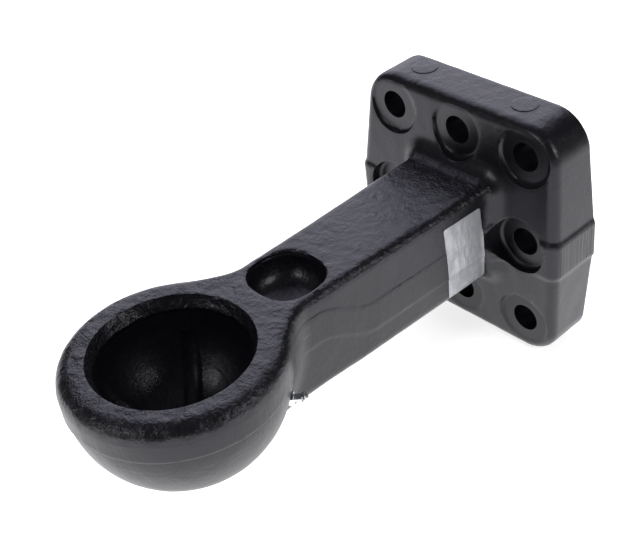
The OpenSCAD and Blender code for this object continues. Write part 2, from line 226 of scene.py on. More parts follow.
def land_heights(x):
    """Top and bottom of the neck's land: level by the flange, then stepping up to the cup."""
    step = land_rise * ease((x - reach + rise_back) / rise_l)
    top = neck_land_h / 2 - neck_land_drop + step
    to_cup = cup_land_high - top_rise_short - neck_land_h / 2 - land_rise
    top = top + to_cup * ease((x - reach + top_rise_back) / top_rise_l)
    return top, -neck_land_h / 2 - neck_land_drop + step


def neck_half(x):
    """Half the neck's width: it narrows in a straight line from the root's fillet to the cup's."""
    share = (np.maximum(x, root_x) - root_x) / (fillet_start - root_x)
    return mix(neck_w_root, neck_w_end, share) / 2


def neck_and_cup(x, y, z):
    """Neck with drafted sides, joined to the domed cup by a fillet and closed by a flat top.

    The walls are joined first, as if they had no top, and the top then cuts both with one
    rounded edge that widens from the neck to the cup."""
    blend_l = 27
    high, low = land_heights(x)
    beyond = np.maximum(np.maximum(z - high, low - z), 0)
    side = (np.abs(y) - neck_half(x) + tan_deg(neck_draft) * beyond) * cos_deg(neck_draft)
    side -= land_proud * neck_land_share * (1 - ease(beyond / neck_step))
    neck = np.maximum(rounded_corner(side, -z - neck_bottom, bottom_r), x - neck_end)
    dome = np.hypot(np.hypot(x - reach, y), np.minimum(z - dome_z, 0)) - dome_r
    cup = dome - land_proud * ease((z - cup_land_low) / cup_step + 1)
    walls = filleted_join(neck, cup, cup_fillet_r)
    near_cup = ease((x - fillet_start) / blend_l)
    top = mix(neck_top, rim_z, near_cup)
    return rounded_corner(walls, z - top, mix(top_r, rim_r, near_cup))


def smooth_forging(x, y, z):
    """Neck, cup and flange joined by the root's fillet, with an even skin."""
    return filleted_join(neck_and_cup(x, y, z), flange(x, y, z), root_r)


def grease_groove(x, y, z, turn):
    """Round-bottomed groove across the hemisphere: a ring of circular section, kept to what lies
    below the ball's middle by half its width."""
    section_r = (groove_depth**2 + groove_w**2 / 4) / (2 * groove_depth)
    along = (x - reach) * math.cos(turn) + y * math.sin(turn)
    across = y * math.cos(turn) - (x - reach) * math.sin(turn)
    out = np.hypot(along, z - ball_z) - (ball_r + groove_depth - section_r)
    return np.maximum(np.hypot(out, across) - section_r, z - ball_z + groove_w / 2)


def socket(x, y, z):
    """Hemisphere, machined wall and the forged lead-in that opens from it."""
    slope = (lead_in_r - ball_r) / (rim_z - inner_edge_r - bore_top)
    wall_r = ball_r + slope * np.maximum(z - bore_top, 0)
    return np.hypot(np.hypot(x - reach, y), np.minimum(z - ball_z, 0)) - wall_r


def pocket(x, y, z):
    """Bowl with a superellipse for outline and for section, a little deeper towards the cup.

    share is how far out a point is, 1 at the wall, and down is how deep, 1 at the floor. The bowl
    ends where share to the wall's power and down to the floor's power add up to 1."""
    outline_power, wall_power, floor_power, tilt = 2.4, 3.4, 2.8, 0.16
    steepness = 1.13
    px = x - reach + pocket_back
    along, across = np.abs(px / pocket_l * 2), np.abs(y / pocket_w * 2)
    share = (along**outline_power + across**outline_power) ** (1 / outline_power)
    depth = (neck_top - z) / (1 + tilt * np.clip(px / pocket_l, -1, 1))
    down = np.maximum(depth - pocket_lip, 0) / (pocket_depth - pocket_lip)
    reached = (share**wall_power + down**floor_power) ** (1 / 3)
    return (reached - 1) * pocket_w / 2 / steepness


def bolt_place(across, pitch):
    """The nearest of three rows of holes at a pitch of half the given one, by its middle."""
    return np.clip(np.round(across / pitch * 2), -1, 1) * pitch / 2


def bolt_holes(x, y, z):
    """The hole and the seat that a point is nearest to. The middle of the pattern has none."""
    no_hole = 20.0
    row, column = bolt_place(z, pitch_z), bolt_place(y, pitch_y)
    off = np.hypot(y - column, z - row)
    seat = rounded_corner(off - seat_d / 2, seat_x - x, seat_r)
    cut = np.maximum(np.minimum(off - hole_d / 2, seat), x - 2 * seat_x)
    return np.where((row == 0) & (column == 0), no_hole, cut)


def about_nipple(x, y, z):
    """Place along the nipple's level axis, and distance from that axis."""
    along = (x - reach) * math.cos(nipple_turn) + y * math.sin(nipple_turn)
    across = y * math.cos(nipple_turn) - (x - reach) * math.sin(nipple_turn)
    return along, np.hypot(across, z - nipple_z)


def nipple_spot_face(x, y, z):
    """Flat round seat under the nipple."""
    along, off = about_nipple(x, y, z)
    return np.maximum(off - nipple_seat_d / 2, nipple_seat - along)


def nipple_holes(x, y, z):
    """Tapped hole and grease passage, on one level axis."""
    along, off = about_nipple(x, y, z)
    tapped = np.maximum(off - shank_d / 2, nipple_seat - shank_l - tap_spare - along)
    passage = np.maximum(off - passage_d / 2, nipple_seat / 2 - along)
    return np.minimum(tapped, passage)


def ejector_marks(x, y, z):
    """Two low round bosses on the flange's top edge."""
    off = np.hypot(x - ejector_x, np.abs(y + ejector_shift) - ejector_pitch / 2) - ejector_d / 2
    return np.maximum(np.maximum(off, z - flange_top - ejector_h), flange_top - ejector_root - z)


def forged_skin(x, y, z):
    """The forging before it is machined, its skin slightly uneven except under the label."""
    wave_lengths, wave_h, seed = [9, 11, 13, 16, 19, 23, 29, 37], 0.16, 5
    even_y, even_from, even_to, even_z = 20, 36, 95, 34
    fade_from, fade_to, fade_z = 8, 12, 6
    along_label = (y > even_y) * ease((even_to - x) / fade_to) * ease((x - even_from) / fade_from)
    under_label = along_label * ease((even_z - np.abs(z)) / fade_z)
    uneven = plane_waves(x, y, z, wave_lengths, seed)
    skin = smooth_forging(x, y, z) - wave_h * uneven * (1 - under_label)
    return np.minimum(skin, ejector_marks(x, y, z))


def machining(x, y, z):
    """What is cut into the forging, but for the nipple's seat: negative inside the cutters."""
    cuts = np.minimum(socket(x, y, z), bolt_holes(x, y, z))
    for turn in (math.radians(45), nipple_turn):
        cuts = np.minimum(cuts, grease_groove(x, y, z, turn))
    return np.minimum(np.minimum(cuts, nipple_holes(x, y, z)), x)


def hitch(x, y, z):
    """Signed distance to the finished hitch: the forging less its pocket and all machining."""
    forged = rounded_corner(forged_skin(x, y, z), -pocket(x, y, z), pocket_lip)
    forged = rounded_corner(forged, -nipple_spot_face(x, y, z), spot_edge_r)
    return rounded_corner(forged, -machining(x, y, z), machined_edge_r)


def slopes(field, p):
    """Unit vector in which a field grows at points p, from its change over a short step."""
    step = 0.02
    rises = []
    for axis in range(3):
        shift = np.zeros(3)
        shift[axis] = step
        rises.append(field(*(p + shift).T) - field(*(p - shift).T))
    rises = np.stack(rises, 1)
    return rises / (np.linalg.norm(rises, axis=1, keepdims=True) + 1e-12)


def ruler(stops, planes=()):
    """Grid positions from (start, end, step) stretches. An extra plane takes the place of any
    position that lies close to it."""
    close = 0.35
    runs = [np.linspace(a, b, max(2, round((b - a) / step)) + 1) for a, b, step in stops]
    marks = np.unique(np.concatenate(runs))
    for plane in planes:
        marks = np.append(marks[np.abs(marks - plane) > close], plane)
    return np.sort(marks)


def crossed_edges(solid, rulers, axis):
    """Grid edges along one axis that the surface crosses: their inner ends, their outer ends, and
    the four cells round each, in an order that makes the face look outwards."""
    cells = np.array(solid.shape) - 1
    lower, upper = [slice(None)] * 3, [slice(None)] * 3
    lower[axis], upper[axis] = slice(0, -1), slice(1, None)
    at = np.argwhere(solid[tuple(lower)] != solid[tuple(upper)])
    next_at = at.copy()
    next_at[:, axis] += 1
    inside_first = solid[tuple(at.T)][:, None]
    a, b = (np.stack([rulers[k][q[:, k]] for k in range(3)], 1) for q in (at, next_at))
    around = []
    for second, third in ((-1, -1), (0, -1), (0, 0), (-1, 0)):
        cell = at.copy()
        cell[:, (axis + 1) % 3] += second
        cell[:, (axis + 2) % 3] += third
        around.append(np.ravel_multi_index(tuple(cell.T), tuple(cells)))
    around = np.stack(around, 1)
    inner, outer = np.where(inside_first, a, b), np.where(inside_first, b, a)
    return inner, outer, np.where(inside_first, around, around[:, ::-1])


def skin_net(field, xs, ys, zs):
    """Four-sided faces on the surface where a field is zero.

    Each grid edge that the surface crosses gives one face, and each grid cell that it crosses
    gives one point: the point nearest to the tangent planes of the cell's crossings, so that
    flat faces stay flat and machined edges stay sharp. Returns points and faces."""
    parts, halvings, hold_to_centre = 12, 9, 0.02
    rulers = [xs, ys, zs]
    slabs = np.array_split(xs, parts)
    values = [field(*np.meshgrid(slab, ys, zs, indexing="ij")) for slab in slabs]
    solid = np.concatenate(values) < 0
    crossed = [crossed_edges(solid, rulers, axis) for axis in range(3)]
    inner, outer, corners = (np.concatenate(part) for part in zip(*crossed))
    for _ in range(halvings):
        middle = (inner + outer) / 2
        within = (field(*middle.T) < 0)[:, None]
        inner, outer = np.where(within, middle, inner), np.where(within, outer, middle)
    crossing = (inner + outer) / 2
    outward = slopes(field, crossing)
    used, faces = np.unique(corners, return_inverse=True)
    faces = faces.reshape(corners.shape)
    owner = faces.ravel()

    def gather(per_crossing):
        """Sum, over each cell, of what its crossings bring."""
        return np.bincount(owner, np.repeat(per_crossing, 4), len(used))

    count = gather(np.ones(len(crossing)))
    centre = np.stack([gather(crossing[:, k]) for k in range(3)], 1) / count[:, None]
    along = (outward * crossing).sum(1)
    pull = np.stack([gather(outward[:, k] * along) for k in range(3)], 1)
    tensor = np.empty((len(used), 3, 3))
    for i in range(3):
        for j in range(3):
            tensor[:, i, j] = gather(outward[:, i] * outward[:, j])
    pull -= np.einsum("nij,nj->ni", tensor, centre)
    tensor += np.eye(3) * (hold_to_centre * count[:, None, None])
    points = centre + np.linalg.solve(tensor, pull[:, :, None])[:, :, 0]
    cell = np.stack(np.unravel_index(used, tuple(np.array(solid.shape) - 1)), 1)
    low, high = (np.stack([rulers[k][cell[:, k] + n] for k in range(3)], 1) for n in (0, 1))
    return np.clip(points, low, high), faces


def new_piece(name, points, faces, made_of, body, sharp=38):
    """A mesh from points in metres and a list of face arrays, riding on a body and smooth but for
    edges sharper than an angle in degrees."""
    mesh = bpy.data.meshes.new(name)
    corners = np.concatenate([part.ravel() for part in faces]).astype(np.int32)
    sizes = np.concatenate([np.full(len(part), part.shape[1], np.int32) for part in faces])
    mesh.vertices.add(len(points))
    mesh.vertices.foreach_set("co", np.asarray(points, np.float32).ravel())
    mesh.loops.add(len(corners))
    mesh.loops.foreach_set("vertex_index", corners)
    mesh.polygons.add(len(sizes))
    mesh.polygons.foreach_set("loop_start", np.cumsum(sizes, dtype=np.int32) - sizes)
    mesh.update(calc_edges=True)
    mesh.validate()
    mesh.polygons.foreach_set("use_smooth", np.ones(len(mesh.polygons), bool))
    mesh.set_sharp_from_angle(angle=math.radians(sharp))
    mesh.materials.append(made_of)
    piece = bpy.data.objects.new(name, mesh)
    bpy.context.scene.collection.objects.link(piece)
    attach(piece, body)
    return piece


def add_mask(piece, name, values):
    """A value per point that the material reads by name."""
    mask = piece.data.attributes.new(name, "FLOAT", "POINT")
    mask.data.foreach_set("value", np.asarray(values, np.float32))


def rows_of_quads(rows, columns):
    """Faces between each row of points and the next, closed round the columns."""
    start = np.arange(rows - 1)[:, None] * columns
    here = np.arange(columns)[None, :]
    after = (here + 1) % columns
    return start + here, start + after, start + columns + after, start + columns + here


def turned(profile, sides, shape=None, closed=False):
    """A profile of (radius, height) pairs carried once round the axis Z, from axis to axis or, if
    closed, back to its first pair.

    shape, if given, returns the radius for every pair of profile point and angle. A point on the
    axis becomes one pole with a fan of triangles. Returns points and a list of face arrays."""
    profile = np.asarray(profile, float)
    angles = np.arange(sides) * 2 * math.pi / sides
    poles = [k for k in (0, len(profile) - 1) if profile[k, 0] == 0]
    rings = np.delete(profile, poles, axis=0)
    radius = np.repeat(rings[:, :1], sides, 1) if shape is None else shape(rings, angles)
    height = np.repeat(rings[:, 1:], sides, 1)
    points = np.stack([radius * np.cos(angles), radius * np.sin(angles), height], 2).reshape(-1, 3)
    rows = len(rings) + closed
    quads = np.stack(rows_of_quads(rows, sides), 2).reshape(-1, 4) % len(points)
    faces = [quads]
    ring = np.arange(sides)
    after = (ring + 1) % sides
    for k in poles:
        tip = np.full(sides, len(points))
        points = np.vstack([points, [0, 0, profile[k, 1]]])
        last = (len(rings) - 1) * sides
        fan = [after, ring, tip] if k == 0 else [last + ring, last + after, tip]
        faces.append(np.stack(fan, 1))
    return points, faces


def smooth_profile(corners, radius, steps=4):
    """A profile whose inner corners are rounded: each becomes a curve of the second degree that
    starts and ends at most the radius away from it, and never past the middle of a side."""
    longest_cut = 0.45
    corners = np.asarray(corners, float)
    before, at, after = corners[:-2], corners[1:-1], corners[2:]
    back, on = before - at, after - at
    back_l, on_l = (np.linalg.norm(side, axis=1, keepdims=True) for side in (back, on))
    cut = np.minimum(radius, np.minimum(back_l, on_l) * longest_cut)
    t = np.linspace(0, 1, steps + 1)[None, :, None]
    first, last = (at + back / back_l * cut)[:, None], (at + on / on_l * cut)[:, None]
    curves = (1 - t) ** 2 * first + 2 * t * (1 - t) * at[:, None] + t**2 * last
    return np.concatenate([corners[:1], curves.reshape(-1, 2), corners[-1:]])


def on_nipple_axis(points):
    """Points around Z, in millimetres, moved onto the nipple's seat and turned to point out of the
    cup, in metres."""
    c, s = math.cos(nipple_turn), math.sin(nipple_turn)
    out = nipple_seat + points[:, 2]
    x = reach + out * c + points[:, 1] * s
    y = out * s - points[:, 1] * c
    return np.stack([x, y, nipple_z + points[:, 0]], 1) * MM


def group(name, inputs, outputs):
    """An empty shader node group. inputs are (kind, name, default) and outputs (kind, name)."""
    tree = bpy.data.node_groups.new(name, "ShaderNodeTree")
    for kind, label, default in inputs:
        socket = tree.interface.new_socket(label, in_out="INPUT", socket_type="NodeSocket" + kind)
        if default is not None:
            socket.default_value = default
    for kind, label in outputs:
        tree.interface.new_socket(label, in_out="OUTPUT", socket_type="NodeSocket" + kind)
    return tree, tree.nodes.new("NodeGroupInput"), tree.nodes.new("NodeGroupOutput")


def add(tree, kind, links=None, **settings):
    """A node with its properties set, its sockets given values or linked from other sockets."""
    node = tree.nodes.new("ShaderNode" + kind)
    for key, value in settings.items():
        setattr(node, key, value)
    for key, value in (links or {}).items():
        socket = node.inputs[key]
        if isinstance(value, bpy.types.NodeSocket):
            tree.links.new(value, socket)
        else:
            socket.default_value = value
    return node


def math_node(tree, operation, a, b=0.0, c=0.0):
    """Result of a Math node on up to three values or sockets."""
    return add(tree, "Math", {0: a, 1: b, 2: c}, operation=operation).outputs[0]


def product(tree, a, b):
    """a times b."""
    return math_node(tree, "MULTIPLY", a, b)


def plus_product(tree, total, a, b):
    """A total with a times b added to it."""
    return math_node(tree, "MULTIPLY_ADD", a, b, total)


def vector_node(tree, operation, a, b):
    """Result of a Vector Math node on two vectors or sockets."""
    return add(tree, "VectorMath", {0: a, 1: b}, operation=operation).outputs[0]


def ramp(tree, value, low, high, to_low=0.0, to_high=1.0):
    """Smooth change from to_low to to_high as a value goes from low to high."""
    links = {"Value": value, "From Min": low, "From Max": high, "To Min": to_low, "To Max": to_high}
    return add(tree, "MapRange", links, interpolation_type="SMOOTHSTEP").outputs["Result"]


def noise(tree, position, scale, detail, roughness=0.5, stretch=(1, 1, 1)):
    """Noise on a position in metres, squeezed along each axis by its stretch."""
    placed = vector_node(tree, "MULTIPLY", position, stretch)
    links = {"Vector": placed, "Scale": scale, "Detail": detail, "Roughness": roughness}
    return add(tree, "TexNoise", links).outputs["Fac"]


def on_object(tree):
    """Object coordinates, in metres."""
    return add(tree, "TexCoord").outputs["Object"]


def bumped(tree, shader, height, distance):
    """Lead a height into the shader's normal, as a relief of a distance in metres."""
    links = {"Height": height, "Distance": distance, "Strength": 1.0}
    tree.links.new(add(tree, "Bump", links).outputs[0], shader.inputs["Normal"])


def forged_skin_group():
    """Node group of as-forged skin under paint.

    Height, in millimetres, is the sum of lumps and wrinkles times the Wrinkles mask, streaks along
    Z times the Streaks mask, fine grain, and turning marks times the Machined mask. Unshaded is 1
    away from folds and pits and 0 in them, where the paint takes painted shade. Dust is where dust
    has settled, and Grain the fine grain itself."""
    fold_h, pit_h, ripple_h, speck_h, lump_h = 0.05, 0.07, 0.45, 0.13, 0.6
    streak_h, grain_h, turning_h = 0.4, 0.012, 0.05
    bend_scale, bend_by = 160.0, (0.005, 0.005, 0.005)
    masks = ("Wrinkles", 1.0), ("Streaks", 0.0), ("Machined", 0.0), ("Turning", 0.0)
    results = "Height", "Unshaded", "Dust", "Grain"
    tree, given, result = group(
        "as_forged_skin",
        [("Vector", "Position", None), *(("Float", *mask) for mask in masks)],
        [("Float", name) for name in results],
    )
    given = given.outputs
    place = given["Position"]
    bend = add(tree, "TexNoise", {"Vector": place, "Scale": bend_scale, "Detail": 2.0})
    bend = vector_node(tree, "MULTIPLY", bend.outputs["Color"], bend_by)
    bent = vector_node(tree, "ADD", place, bend)
    folds = noise(tree, bent, 300.0, 4.0, 0.62)
    folds = math_node(tree, "ABSOLUTE", math_node(tree, "SUBTRACT", folds, 0.5))
    folds = ramp(tree, folds, 0.0, 0.16)
    lumps = noise(tree, place, 150.0, 4.0, 0.6)
    pits = add(tree, "TexVoronoi", {"Vector": bent, "Scale": 260.0, "Randomness": 1.0})
    pits = ramp(tree, pits.outputs["Distance"], 0.03, 0.36)
    patch = ramp(tree, noise(tree, place, 70.0, 2.0), 0.36, 0.62)
    ripples = noise(tree, bent, 330.0, 2.0, 0.5)
    specks = noise(tree, place, 1100.0, 2.0, 0.6)
    wrinkle = product(tree, folds, fold_h)
    for part, part_h in ((pits, pit_h), (ripples, ripple_h), (specks, speck_h)):
        wrinkle = plus_product(tree, wrinkle, part, part_h)
    wrinkle = product(tree, wrinkle, ramp(tree, patch, 0.0, 1.0, 0.45, 1.0))
    wrinkle = product(tree, plus_product(tree, wrinkle, lumps, lump_h), given["Wrinkles"])
    shear = noise(tree, place, 700.0, 3.0, 0.6, stretch=(1, 1, 0.03))
    shear = product(tree, shear, product(tree, given["Streaks"], streak_h))
    grain = noise(tree, place, 2600.0, 2.0, 0.5)
    along = add(tree, "CombineXYZ", {"X": given["Turning"]}).outputs[0]
    marks = noise(tree, along, 1.3, 2.0, 0.6)
    marks = product(tree, marks, product(tree, given["Machined"], turning_h))
    fine = math_node(tree, "ADD", product(tree, grain, grain_h), marks)
    height = math_node(tree, "ADD", wrinkle, math_node(tree, "ADD", shear, fine))
    # Mask for the painted shade: 0 in folds and pits, 1 elsewhere
    unshaded = product(tree, folds, pits)
    dust = ramp(tree, noise(tree, place, 240.0, 6.0, 0.7), 0.62, 0.74)
    for name, value in zip(results, (height, unshaded, dust, grain)):
        tree.links.new(value, result.inputs[name])
    return tree


def material(name, **values):
    """A material with its Principled node set. Returns the material, its tree and that node."""
    made = bpy.data.materials.new(name)
    made.use_nodes = True
    tree = made.node_tree
    shader = tree.nodes["Principled BSDF"]
    for key, value in values.items():
        shader.inputs[key.replace("_", " ")].default_value = value
    return made, tree, shader


def forging_paint():
    """Thin black paint over the forging, painted darker in the skin's folds and pits as shade, with
    a little grey dust, and shining more or less with the grain. The skin's group and the piece's
    masks give the bump."""
    # A shaded and a lit copy of the paint: the darker one is painted shade in folds and pits
    dark, pale = (0.0035, 0.0033, 0.0048, 1), (0.0062, 0.0059, 0.0088, 1)
    dust_colour, most_dust = (0.10, 0.10, 0.115, 1), 0.06
    made, tree, shader = material("black_paint_over_forging", Specular_Tint=(0.92, 0.925, 1.0, 1))
    skin = tree.nodes.new("ShaderNodeGroup")
    skin.node_tree = forged_skin_group()
    tree.links.new(on_object(tree), skin.inputs["Position"])
    for name in ("Wrinkles", "Streaks", "Machined", "Turning"):
        mask = add(tree, "Attribute", attribute_name=name.lower())
        tree.links.new(mask.outputs["Fac"], skin.inputs[name])
    # Painted shade: the darker copy of the paint goes into the folds and pits, the paler one
    # elsewhere
    links = {0: skin.outputs["Unshaded"], 6: dark, 7: pale}
    bare = add(tree, "Mix", links, data_type="RGBA").outputs[2]
    links = {0: product(tree, skin.outputs["Dust"], most_dust), 6: bare, 7: dust_colour}
    dusted = add(tree, "Mix", links, data_type="RGBA").outputs[2]
    tree.links.new(dusted, shader.inputs["Base Color"])
    gloss = ramp(tree, skin.outputs["Grain"], 0.2, 0.8, 0.3, 0.4)
    tree.links.new(gloss, shader.inputs["Roughness"])
    bumped(tree, shader, skin.outputs["Height"], MM)
    return made


def metal(name, colour, scale, detail, smoothest, roughest, relief=0.0):
    """Bare or plated metal: a fine grain moves its roughness between two values and, where a relief
    in metres is given, its height."""
    made, tree, shader = material(name, Metallic=1.0, Base_Color=colour)
    grain = noise(tree, on_object(tree), scale, detail)
    tree.links.new(ramp(tree, grain, 0.3, 0.7, smoothest, roughest), shader.inputs["Roughness"])
    if relief:
        bumped(tree, shader, grain, relief)
    return made


def label_foil():
    """Bare silvery foil: broad stains change its colour and gloss, and creases bend it."""
    clean, stained = (0.62, 0.63, 0.66, 1), (0.44, 0.45, 0.48, 1)
    bend_h = 0.0003
    made, tree, shader = material("bare_foil", Metallic=0.55)
    place = on_object(tree)
    soil = noise(tree, place, 90.0, 4.0, 0.6)
    links = {0: ramp(tree, soil, 0.35, 0.7), 6: clean, 7: stained}
    colour = add(tree, "Mix", links, data_type="RGBA").outputs[2]
    tree.links.new(colour, shader.inputs["Base Color"])
    tree.links.new(ramp(tree, soil, 0.3, 0.7, 0.34, 0.5), shader.inputs["Roughness"])
    bumped(tree, shader, noise(tree, place, 260.0, 3.0, stretch=(1, 1, 0.4)), bend_h)
    return made


def forging_masks(points):
    """What the paint reads at each point of the forging, by name.

    wrinkles is how rough the skin is: most on the neck's top, the lead-in and the pocket, less on
    the drafted walls and the flange, least on cut faces. streaks is 1 on the flange's land, where
    the flash was sheared off, and less on the other lands. machined is 1 on cut faces, and turning
    is the place, in millimetres, that their tool marks follow."""
    x, y, z = points.T
    outward = slopes(hitch, points)
    from_axis = np.hypot(x - reach, y)
    on_cup, on_flange = x > behind_cup, x < flange_t + 3
    edge, cut_reach, cut_fade, bowl_fade = 1.2, 0.5, 0.4, 9.0

    # Cut faces lie within reach of the cutters, but the socket's lead-in is forged
    cutters = np.minimum(machining(x, y, z), nipple_spot_face(x, y, z))
    in_lead = ease((z - bore_top + edge / 2) / edge)
    cut = ease((cut_reach - np.abs(cutters)) / cut_fade) * (1 - in_lead * on_cup)
    in_bowl = (from_axis < ball_r + 2) * ease((ball_z - z) / bowl_fade)

    # Streaks lie on the lands and fade where these turn upwards
    neck_streaks, cup_streaks, front_streaks = 0.45, 0.3, 0.12
    high, low = land_heights(x)
    neck_land = ease((z - low) / edge) * ease((high - z) / edge) * (x > flange_t + 6)
    cup_land = ease((z - cup_land_low) / edge) * ease((cup_land_high - z) / edge)
    cup_land = cup_land * (np.abs(from_axis - cup_d / 2) < 3)
    flange_land = ease((land_h / 2 + edge / 2 - np.abs(z + land_drop)) / edge) * on_flange
    streaks = np.maximum(np.maximum(neck_streaks * neck_land, cup_streaks * cup_land), flange_land)
    streaks = streaks * (1 - cut) * ease((0.5 - outward[:, 2]) / 0.3)
    front = front_streaks * ease((outward[:, 0] - 0.6) / 0.3) * (x < flange_t + 4) * (1 - cut)

    # Wrinkles grow where the neck turns upwards and along it to the cup
    drafted_wall, top_by_root, top_by_cup, cup_rise_x, cup_rise_l = 0.34, 1.1, 1.6, 150, 40
    flange_front, flange_end, pocket_floor, pocket_wall, bowl = 0.2, 0.6, 0.6, 1.0, 0.45
    worn_by_cut, worn_by_shear = 0.9, 0.6
    upward = ease((outward[:, 2] - 0.15) / 0.5)
    rough_part = np.maximum(upward * (x > flange_t), in_lead * (from_axis < lead_in_r + 2.5))
    roughest = mix(top_by_root, top_by_cup, ease((x - cup_rise_x) / cup_rise_l))
    flange_wrinkles = mix(flange_front, flange_end, ease((outward[:, 2] - 0.3) / 0.5))
    wrinkles = np.where(on_flange, flange_wrinkles, mix(drafted_wall, roughest, rough_part))
    wrinkles = wrinkles * (1 - cut * worn_by_cut) * (1 - streaks * worn_by_shear)
    in_outline = (np.abs(x - reach + pocket_back) < pocket_l / 2) & (np.abs(y) < pocket_w / 2)
    pocket_wrinkles = mix(pocket_floor, pocket_wall, ease((z - neck_top + 16) / 8))
    wrinkles = np.where(in_outline & (z < neck_top - pocket_lip), pocket_wrinkles, wrinkles)
    wrinkles = mix(wrinkles, bowl, in_bowl)

    # Tool marks run round the bolt seats and the nipple's seat, and round each bore by its depth
    from_hole = np.hypot(y - bolt_place(y, pitch_y), z - bolt_place(z, pitch_z))
    round_hole = np.where(from_hole < hole_d / 2 + 0.4, x, from_hole)
    from_nipple = about_nipple(x, y, z)[1]
    on_spot_face = (nipple_spot_face(x, y, z) < 0.6) & (from_nipple < nipple_seat_d / 2 - 0.2)
    round_cup = np.where(on_spot_face, from_nipple, z)
    return {
        "wrinkles": wrinkles,
        "streaks": np.maximum(streaks, front),
        "machined": cut * (1 - in_bowl),
        "turning": np.where(on_cup, round_cup, round_hole),
    }


# The forging. The net is finer round the nipple, and has planes at the mounting
# face, at the floor of the bolt seats, and where level faces and lands run out
x_stops = [
    (-0.8, 40.8, 1.6), (40.8, 126, 3.0), (126, 184, 1.9),
    (184, 199.5, 1.55), (199.5, 213.45, 0.775), (213.45, 308, 1.55),
]
y_stops = [(-80.8, 32.8, 1.6), (32.8, 47.2, 0.8), (47.2, 80.8, 1.6)]
z_stops = [
    (-84, -44, 1.8), (-44, -10, 1.6), (-10, 27.8, 1.05),
    (27.8, 38.4, 1.55), (38.4, 78.8, 1.8),
]
x_planes = [0.0001, seat_x, flange_t + 0.5]
z_planes = [-16.0, -14.5, -13.0, 8.0, 9.5, 11.0, 14.7, 15.6, 16.5, 76.25, 76.7, 77.3]
xs, ys, zs = ruler(x_stops, x_planes), ruler(y_stops), ruler(z_stops, z_planes)
points, faces = skin_net(hitch, xs, ys, zs)
points = np.clip(points, *(np.array([list(end) for end in cad_box]) / MM))
body = new_piece("forging", points * MM, [faces], forging_paint(), "hitch")
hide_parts("hitch_body")
for name, values in forging_masks(points).items():
    add_mask(body, name, values)

# The grease nipple: a turned body with a hexagon, bored through for its check
# ball. It lies a hair inside its solid
under = 0.02
hex_af = 7.0
hex_l = 3.0
neck_d = 4.4
head_d = 6.5
nipple_l = 10.5
head_l = 4.2
valve_ball_r = 1.2
cone_r = 0.95
cone_l = 0.9
staked_r = 0.7
staked_l = 0.6
guide_r = valve_ball_r - 0.05
chamber_r = valve_ball_r + 0.15
ball_travel = 0.8
cone_z = nipple_l - valve_ball_r - 0.2
valve_ball_z = cone_z + 0.06
stop_z = valve_ball_z - ball_travel - math.sqrt(valve_ball_r**2 - guide_r**2) - under


def nipple_profile():
    """Outline of the nipple from its staked foot up the outside, over the head and back down the
    bore, as (radius, height) pairs above its seat, with small rounded corners."""
    shank, head, corner = shank_d / 2 - under, head_d / 2, hex_af / 2 / math.cos(math.pi / 6)
    foot, tip, head_low = -shank_l, nipple_l - under, nipple_l - head_l
    outside = [
        (staked_r, foot), (shank - 0.5, foot), (shank, foot + 0.5), (shank, under),
        (corner - 0.5, under), (corner, 0.32), (corner, hex_l - 0.3),
        (corner - 0.55, hex_l - under), (neck_d / 2, hex_l - under), (neck_d / 2, head_low + 0.6),
        (head - under, head_low + 1.6), (head - under, head_low + 2.4),
        (head - 1.6, nipple_l - 0.25), (head - 1.85, tip),
    ]
    bore = [
        (cone_r, tip), (cone_r, cone_z + cone_l), (chamber_r, cone_z), (chamber_r, stop_z),
        (guide_r, stop_z), (guide_r, staked_l + foot), (staked_r, staked_l + foot),
        (staked_r, foot),
    ]
    return smooth_profile(outside + bore, 0.14)


def with_hexagon(rings, angles):
    """Radius of the turned outline, limited by the six flats over the hexagon's height: half the
    width across flats over the cosine of the angle to the middle of the nearest flat."""
    beyond = 0.05
    to_flat = angles % (math.pi / 3) - math.pi / 6
    flats = hex_af / 2 / np.cos(to_flat)
    base = (rings[:, 1] > -beyond) & (rings[:, 1] < hex_l + beyond)
    return np.where(base[:, None], np.minimum(rings[:, :1], flats), rings[:, :1])


bright_zinc = metal(
    "bright_zinc", (0.78, 0.79, 0.81, 1),
    scale=1800.0, detail=3.0, smoothest=0.26, roughest=0.4, relief=0.00002,
)
points, faces = turned(nipple_profile()[:-1], sides=120, shape=with_hexagon, closed=True)
points = on_nipple_axis(points)
nipple = new_piece("nipple", points, faces, bright_zinc, "hitch", sharp=30)
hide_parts("grease_nipple")

# The check ball: half a circle turned, from pole to pole
polished_steel = metal(
    "polished_steel", (0.72, 0.73, 0.75, 1),
    scale=3000.0, detail=2.0, smoothest=0.08, roughest=0.16,
)
ball_rings = 33
rise = np.radians(np.linspace(-90, 90, ball_rings))
profile = np.stack([np.cos(rise) * valve_ball_r, valve_ball_z + np.sin(rise) * valve_ball_r], 1)
profile[[0, -1], 0] = 0
points, faces = turned(profile, sides=64)
points = on_nipple_axis(points)
valve = new_piece("valve_ball", points, faces, polished_steel, "valve", sharp=60)
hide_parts("check_ball")

# The spring that holds the ball shut, drawn at its length while the ball is shut
wire_r = 0.15
spring_r = 0.9
spring_turns = 7
spring_gap = 0.03
flat_ends = 0.55
spring_low = staked_l - shank_l + wire_r + spring_gap
spring_high = valve_ball_z - math.sqrt((valve_ball_r + wire_r + spring_gap) ** 2 - spring_r**2)


